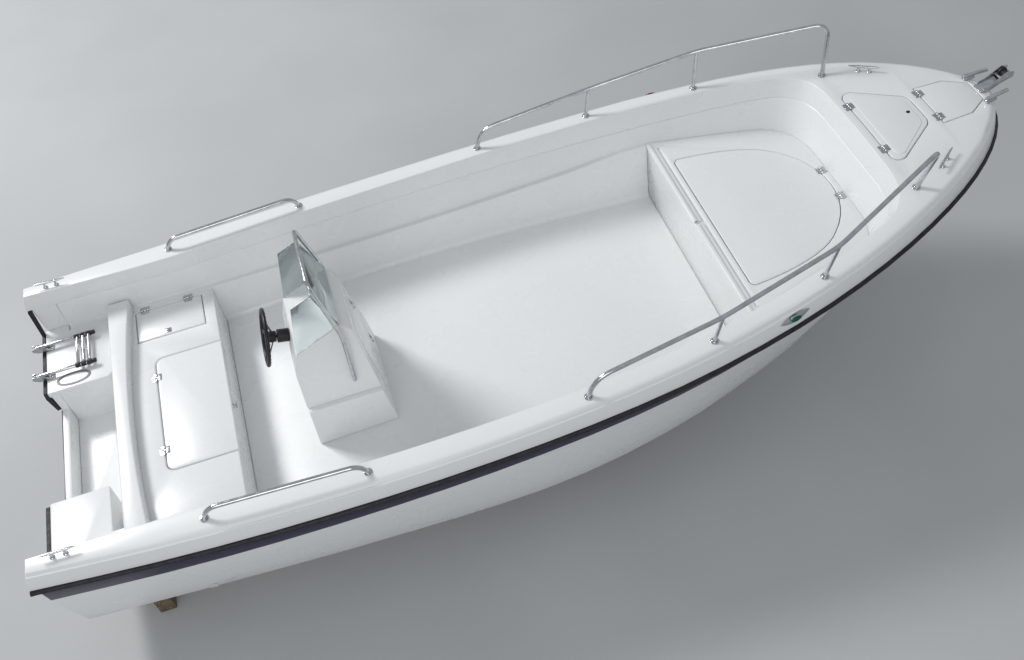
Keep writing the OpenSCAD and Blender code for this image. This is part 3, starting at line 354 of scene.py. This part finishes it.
# %% Fittings that keep their CAD form
FITTINGS = [
    ("nav_lights", "polished_stainless", 0.8), ("platform_hinges", "tumbled_stainless", 0.5),
    ("foredeck_hinges", "tumbled_stainless", 0.5), ("anchor_hinges", "tumbled_stainless", 0.5),
    ("seat_hinges", "tumbled_stainless", 0.5), ("side_locker_hinges", "tumbled_stainless", 0.5),
    ("hinge_bases", "tumbled_stainless", 0.5), ("seat_latch", "polished_stainless", 0.5),
    ("side_locker_latch", "tumbled_stainless", 0.8), ("hatch_lock", "grained_black_plastic", 0.8),
    ("helm_hub", "grained_black_plastic", 2), ("bow_roller_bracket", "polished_stainless", 0.8),
    ("bow_roller", "black_rubber", 2), ("bow_fairleads", "polished_stainless", 0.5),
    ("ladder_mounts", "tumbled_stainless", 0.8), ("swim_ladder", "polished_stainless", 0.6),
    ("ladder_grips", "grained_black_plastic", 2), ("step_ring", "grey_polyamide", 0.8),
    ("skin_fitting", "white_polyamide", 1.5), ("bow_eye", "polished_stainless", 0.1),
    ("timber_bearers", "weathered_softwood", 3), ("timber_chocks", "weathered_softwood", 3),
    ("windscreen", "smoked_acrylic", 1)]
for node, material_name, radius in FITTINGS:
    soften(node, material_name, radius, 2, SEAM if node == "windscreen" else 0.02)
print("fittings", len(FITTINGS))

# %% [markdown]
# The rails are bent from one length of 25 mm tube. A curve is the natural tool: it holds the few
# points where the bender stops, the corners are rounded with the bender's reach, and a round
# bevel of the tube's radius gives the wall. The posts are thinner tube, welded on under the rail.

# %% Helpers for tube
def rounded(points):
    """A path through (x, y, z, reach) points whose corners start and end at reach metres."""
    steps, path = 10, []
    for k, (x, y, z, reach) in enumerate(points):
        corner = Vector((x, y, z))
        if not reach:
            path.append(corner)
            continue
        before = corner + reach * (Vector(points[k - 1][:3]) - corner).normalized()
        after = corner + reach * (Vector(points[k + 1][:3]) - corner).normalized()
        for s in range(steps + 1):
            u = s / steps
            path.append(before * (1 - u) ** 2 + corner * 2 * u * (1 - u) + after * u * u)
    return path


def tube(points, radius, radii=None, sides=6):
    """A round bar along the points, turned to a mesh; radii scale it at each point."""
    data = bpy.data.curves.new("tube", "CURVE")
    data.dimensions = "3D"
    data.bevel_depth = radius
    data.bevel_resolution = sides
    data.use_fill_caps = True
    line = data.splines.new("POLY")
    line.points.add(len(points) - 1)
    for k, point in enumerate(points):
        line.points[k].co = (*point, 1)
        line.points[k].radius = radii[k] if radii else 1
    piece = bpy.data.objects.new("tube", data)
    bpy.context.scene.collection.objects.link(piece)
    make_active(piece)
    bpy.ops.object.convert(target="MESH")
    return bpy.context.object


def joined(pieces):
    deselect()
    for piece in pieces:
        piece.select_set(True)
    bpy.context.view_layer.objects.active = pieces[0]
    bpy.ops.object.join()
    return bpy.context.object


def mirrored(points):
    return [(p[0], -p[1], *p[2:]) for p in points]


def standing_on(at, normal, along=Vector((1, 0, 0))):
    """The matrix that stands a small part on a sloping surface, its x turned towards along."""
    up = Vector(normal).normalized()
    side = up.cross(along).normalized()
    return Matrix.Translation(at) @ Matrix((side.cross(up), side, up)).transposed().to_4x4()


def placed_copy(master, matrix):
    piece = bpy.data.objects.new(master.name, master.data.copy())
    bpy.context.scene.collection.objects.link(piece)
    piece.data.transform(matrix)
    return piece


# %% [markdown]
# Screws come by the dozen, so one is modelled and copied. It is a raised countersunk head: a disc
# whose top is inset and lifted to a low crown, with a small round recess left dark by its
# depth.

# %% Screw head
def screw_master(radius):
    deselect()
    bpy.ops.mesh.primitive_cylinder_add(vertices=14, radius=radius, depth=radius * 0.5, location=(0, 0, radius * 0.1))
    screw = bpy.context.object
    bpy.ops.object.mode_set(mode="EDIT")
    mesh = bmesh.from_edit_mesh(screw.data)
    for face in mesh.faces:
        face.select_set(face.normal.z > 0.9)
    bmesh.update_edit_mesh(screw.data)
    bpy.ops.mesh.inset(thickness=radius * 0.35, depth=radius * 0.14)
    bpy.ops.mesh.inset(thickness=radius * 0.3, depth=radius * 0.05)
    bpy.ops.mesh.inset(thickness=radius * 0.04, depth=-radius * 0.3)
    bpy.ops.object.mode_set(mode="OBJECT")
    screw.data.transform(Matrix.Translation(screw.location))
    screw.location = (0, 0, 0)
    return screw


screw = screw_master(4 * MM)
print("screw faces", len(screw.data.polygons))

# %% [markdown]
# Some details sit on fittings whose place the frame already knows. To find it, a node is copied and
# split into its loose solids; a ray then finds the surface that a screw or a lens stands on.

# %% Helpers that measure a fitting
def loose_parts(node):
    make_active(merged_copy(node))
    bpy.ops.mesh.separate(type="LOOSE")
    return list(bpy.context.selected_objects)


def middle_and_span(piece):
    corners = [Vector(corner) for corner in piece.bound_box]
    return (corners[0] + corners[6]) / 2, corners[6] - corners[0]


def surface_at(piece, at, outward):
    """The point and normal where a line along outward through the point leaves the piece."""
    outward = Vector(outward).normalized()
    found, place, normal, face = piece.ray_cast(at + 0.1 * outward, -outward)
    return (place, normal) if found else (at, outward)


# %% [markdown]
# Each leaf of a hinge takes two screws beside its knuckles. The knuckles stand higher than the
# leaf, so of the two sides of a leaf the screws go to the lower one.

# %% Hinge screws
def leaf_screws(node):
    heads = []
    for leaf in loose_parts(node):
        centre, span = middle_and_span(leaf)
        pin = Vector((0, 1, 0)) if span.y > span.x else Vector((1, 0, 0))
        across = Vector((pin.y, pin.x, 0))
        sides = []
        for side in (0.24, -0.24):
            row = centre + side * span.dot(across) * across
            sides.append([surface_at(leaf, row + end * 0.31 * span.dot(pin) * pin, (0, 0, 1)) for end in (1, -1)])
        for place, normal in min(sides, key=lambda pair: pair[0][0].z + pair[1][0].z):
            heads.append(placed_copy(screw, standing_on(place, normal) @ Matrix.Scale(0.62, 4)))
        bpy.data.objects.remove(leaf)
    return finish_piece(joined(heads), "screws_of_" + node, "polished_stainless", node, False)


for node in ("platform_hinges", "foredeck_hinges", "anchor_hinges", "seat_hinges", "side_locker_hinges", "hinge_bases"):
    leaf_screws(node)
print("hinge screws done")

# %% [markdown]
# The lights are eye-shaped plates on the deck's skirt. A domed lens stands in the middle of each,
# green to starboard and red to port, and a screw holds each tip.

# %% Lenses of the lights
tips = []
for plate in loose_parts("nav_lights"):
    centre, span = middle_and_span(plate)
    outward = Vector((0, math.copysign(0.94, centre.y), 0.34))
    place, normal = surface_at(plate, centre, outward)
    along = Vector((1, -math.copysign(0.2, centre.y), 0.06)).normalized()
    bpy.ops.mesh.primitive_uv_sphere_add(segments=36, ring_count=18, radius=1, location=(0, 0, 0))
    lens = bpy.context.object
    lens.data.transform(standing_on(place, normal, along) @ Matrix.Diagonal((30 * MM, 15 * MM, 9 * MM, 1)))
    colour = "red_lens" if centre.y > 0 else "green_lens"
    finish_piece(lens, colour + "_dome", colour, "nav_lights", False)
    for end in (62 * MM, -62 * MM):
        tip, tip_normal = surface_at(plate, place + end * along, normal)
        tips.append(placed_copy(screw, standing_on(tip, tip_normal) @ Matrix.Scale(0.6, 4)))
    bpy.data.objects.remove(plate)
finish_piece(joined(tips), "screws_of_nav_lights", "polished_stainless", "nav_lights", False)

# %% [markdown]
# The screen's side panes stand on the console's sides, held by three screws each. Their row runs
# along the panes' sloping lower edge, a finger's width above it.

# %% Screen screws
PANE_FOOT = (Vector((-1.322, 0, 1.102)), Vector((-1.060, 0, 1.226)))
screen = bpy.data.objects["soft_windscreen"]
heads = []
for side in (1, -1):
    for share in (0.12, 0.48, 0.84):
        at = PANE_FOOT[0].lerp(PANE_FOOT[1], share) + Vector((0, side * 0.216, 14 * MM))
        place, normal = surface_at(screen, at, (0, side, 0))
        heads.append(placed_copy(screw, standing_on(place, normal)))
finish_piece(joined(heads), "screws_of_screen", "polished_stainless", "screen_frame", False)

# %% [markdown]
# The ladder telescopes: each rung has a black moulded collar at both ends, and with the ladder
# pushed together the collars stand in a stack beside the grips.

# %% Ladder collars
RUNG_PITCH, FIRST_RUNG = 33 * MM, 25 * MM
collars = []
for grip in loose_parts("ladder_grips"):
    centre, span = middle_and_span(grip)
    for k in range(3):
        at = centre - Vector((FIRST_RUNG + k * RUNG_PITCH, 0, 0))
        deselect()
        bpy.ops.mesh.primitive_cylinder_add(vertices=32, radius=15 * MM, depth=RUNG_PITCH - 3 * MM, rotation=(0, math.pi / 2, 0))
        bpy.ops.object.transform_apply(rotation=True)
        collar = bpy.context.object
        bevel(collar, 3, 3, 40)
        collar.data.transform(Matrix.Translation(at))
        collars.append(collar)
    bpy.data.objects.remove(grip)
finish_piece(joined(collars), "ladder_collars", "grained_black_plastic", "ladder_grips", False)

# %% [markdown]
# The foredeck lid is pressed with a raised panel, which stiffens it. A second copy of the lid, made
# smaller in the lid's own sloping plane and lifted a little, is that panel.

# %% Raised panel of the foredeck lid
BORDER, RISE = 30 * MM, 3 * MM
panel = merged_copy("foredeck_hatch")
centre, span = middle_and_span(panel)
on_lid = standing_on(*surface_at(panel, centre, (0, 0, 1)))
smaller = Matrix.Diagonal((1 - 2 * BORDER / span.x, 1 - 2 * BORDER / span.y, 1, 1))
panel.data.transform(on_lid @ Matrix.Translation((0, 0, RISE)) @ smaller @ on_lid.inverted())
bevel(panel, 3, 3, 40)
finish_piece(panel, "raised_panel", "white_gelcoat", "foredeck_hatch", False)

# %% [markdown]
# A rail stands on round feet: a flange with a small collar that the tube is welded into, and three
# screws. The flange is turned from bar, so a cylinder with a bevelled rim is the right start.

# %% Rail foot
deselect()
bpy.ops.mesh.primitive_cylinder_add(vertices=36, radius=22 * MM, depth=6 * MM, location=(0, 0, 3 * MM))
flange = bpy.context.object
bpy.ops.mesh.primitive_cylinder_add(vertices=28, radius=15.5 * MM, depth=14 * MM, location=(0, 0, 7 * MM))
collar = bpy.context.object
foot = joined([flange, collar])
bpy.ops.object.transform_apply(location=True)
bevel(foot, 1.8, 3, 40)
foot_screws = [placed_copy(screw, Matrix.Rotation(math.radians(60 + 120 * k), 4, "Z")
    @ Matrix.Translation((18.6 * MM, 0, 6 * MM)) @ Matrix.Scale(0.6, 4)) for k in range(3)]
foot = joined([foot] + foot_screws)
print("foot faces", len(foot.data.polygons))

# %% Grab rails aft
GRAB = [(-1.922, 0.964, 1.01975, 0), (-1.896, 0.964, 1.08659, 0.06), (-1.15, 1.004, 1.09326, 0.06), (-1.124, 1.004, 1.02674, 0)]
GRAB_FEET = [((-1.922, 0.964, 1.01525), (0.007, 0.0248, 1)), ((-1.124, 1.004, 1.02224), (-0.0187, 0.0248, 1))]


def feet_of(places):
    copies = []
    for at, normal in places:
        for side in (1, -1):
            copies.append(placed_copy(foot, standing_on((at[0], side * at[1], at[2]), (normal[0], side * normal[1], normal[2]))))
    return copies


rails = [tube(rounded(GRAB), 12.5 * MM), tube(rounded(mirrored(GRAB)), 12.5 * MM)]
finish_piece(joined(rails + feet_of(GRAB_FEET)), "bent_grab_rails", "polished_stainless", "grab_rails")

# %% Bow rails
BOW = [(-0.004, 1.004, 1.06541, 0), (0.036, 1.008, 1.18651, 0.09), (0.71, 0.966, 1.29148, 0.06),
    (1.353, 0.866, 1.4179, 0.06), (2.036, 0.586, 1.56987, 0.09), (1.986, 0.52, 1.27566, 0)]
BOW_POSTS = [[(0.676, 0.952, 1.11549, 0), (0.71, 0.966, 1.29148, 0)], [(1.319, 0.832, 1.18918, 0), (1.353, 0.866, 1.4179, 0)]]
BOW_FEET = [((-0.004, 1.004, 1.06091), (-0.054, 0.0247, 1)), ((0.676, 0.952, 1.11099), (-0.0966, 0.0244, 1)),
    ((1.319, 0.832, 1.18468), (-0.1219, 0.0238, 1)), ((1.986, 0.52, 1.27116), (-0.0988, 0.0232, 1))]
rails = [tube(rounded(side(BOW)), 12.5 * MM) for side in (list, mirrored)]
rails += [tube(rounded(side(post)), 10.5 * MM) for post in BOW_POSTS for side in (list, mirrored)]
finish_piece(joined(rails + feet_of(BOW_FEET)), "bent_bow_rails", "polished_stainless", "bow_rails")

# %% [markdown]
# The hoop round the screen is thinner tube. It follows the raked panes, and its ends turn in to
# the console's sides, where each end is capped flat.

# %% Screen hoop
HOOP = [(-1.08, 0.266, 0.848, 0), (-1.08, 0.285, 0.854, 0.014), (-1.068, 0.262, 1.192, 0.06), (-1.146, 0.214, 1.556, 0.05)]
hoop = tube(rounded(HOOP + mirrored(HOOP)[::-1]), 11 * MM)
finish_piece(hoop, "screen_hoop", "polished_stainless", "screen_frame")

# %% [markdown]
# A mooring cleat is an investment casting: a bar with two tapering horns on two legs that flare
# where they meet the deck. Bars of changing radius give that form without a single modelled face.

# %% Cleats
def cleat():
    horn = [(-86, 33, 3.6), (-70, 33.5, 5.2), (-44, 33, 6.6), (0, 32, 7), (44, 33, 6.6), (70, 33.5, 5.2), (86, 33, 3.6)]
    parts = [tube([(x * MM, 0, z * MM) for x, z, r in horn], MM, [r for x, z, r in horn])]
    leg = [(0.4, 14), (3, 13.4), (6, 10), (12, 7.6), (22, 7), (32, 7)]
    for x in (-31, 31):
        parts.append(tube([(x * MM, 0, z * MM) for z, r in leg], MM, [r for z, r in leg]))
        parts.append(placed_copy(screw, Matrix.Translation((x * MM, 0, 38.6 * MM)) @ Matrix.Scale(0.9, 4)))
    return joined(parts)


cleat_master = cleat()
CLEATS = [((-2.606, 0.924, 1.03402), (0.033, 0.0247, 1), 0), ((2.199, 0.43, 1.28981), (-0.0585, 0.0237, 1), -38)]
cleat_copies = []
for at, normal, turn in CLEATS:
    for side in (1, -1):
        along = Vector((math.cos(math.radians(turn)), side * math.sin(math.radians(turn)), 0))
        matrix = standing_on((at[0], side * at[1], at[2]), (normal[0], side * normal[1], normal[2]), along)
        cleat_copies.append(placed_copy(cleat_master, matrix))
finish_piece(joined(cleat_copies), "cast_cleats", "polished_stainless", "cleats")

# %% [markdown]
# The wheel is moulded in black polyurethane over a steel core. A torus makes the rim, and shallow
# finger waves on its back make it a grip. Three flat spokes run down to a dished hub with a plain
# cap. All of it is built flat on the axis and then leaned with the column.

# %% Steering wheel
WHEEL_AT = Vector((-1.466, 0, 1.07))
COLUMN = Vector((0.970296, 0, -0.241922))
RIM_RADIUS, RIM_THICK, DISH = 149 * MM, 11 * MM, 44 * MM
deselect()
bpy.ops.mesh.primitive_torus_add(major_segments=120, minor_segments=18, major_radius=RIM_RADIUS, minor_radius=RIM_THICK)
rim = bpy.context.object
for vertex in rim.data.vertices:
    angle = math.atan2(vertex.co.y, vertex.co.x)
    if vertex.co.z > 0:
        vertex.co.z *= 0.88 + 0.1 * math.cos(30 * angle)
spokes = []
for k in range(3):
    deselect()
    bpy.ops.mesh.primitive_cube_add(size=1, location=(0, 0, 0))
    spoke = bpy.context.object
    spoke.data.transform(Matrix.Diagonal((132 * MM, 24 * MM, 7 * MM, 1)))
    bpy.ops.object.mode_set(mode="EDIT")
    bpy.ops.mesh.subdivide(number_cuts=6)
    bpy.ops.object.mode_set(mode="OBJECT")
    for vertex in spoke.data.vertices:
        share = vertex.co.x / (132 * MM) + 0.5
        vertex.co.y *= 1.25 - 0.5 * math.sin(math.pi * min(1, share * 1.1))
        vertex.co.z += DISH * (1 - share) ** 1.4
        vertex.co.x += 80 * MM
    spoke.data.transform(Matrix.Rotation(math.radians(120 * k), 4, "Z"))
    bevel(spoke, 2, 2, 50)
    spokes.append(spoke)
print("rim and spokes", len(rim.data.polygons))

# %% Wheel hub and assembly
deselect()
bpy.ops.mesh.primitive_cylinder_add(vertices=40, radius=30 * MM, depth=54 * MM, location=(0, 0, 30 * MM))
hub = bpy.context.object
bpy.ops.object.transform_apply(location=True)
bevel(hub, 5, 3, 50)
deselect()
bpy.ops.mesh.primitive_cylinder_add(vertices=40, radius=21 * MM, depth=5 * MM, location=(0, 0, 1.5 * MM))
cap = bpy.context.object
bpy.ops.object.transform_apply(location=True)
bevel(cap, 1.8, 3, 50)
wheel = joined([rim] + spokes + [hub, cap])
wheel.data.transform(standing_on(WHEEL_AT, COLUMN, Vector((0, 0, 1))))
finish_piece(wheel, "moulded_wheel", "wheel_polyurethane", "steering_wheel")
print("wheel faces", len(wheel.data.polygons))

# %% Tidy the masters away
for master in (screw, foot, cleat_master):
    bpy.data.objects.remove(master)
left = [name for name, node in frame["nodes"].items() if not node.data.materials]
print("nodes without a material", left)
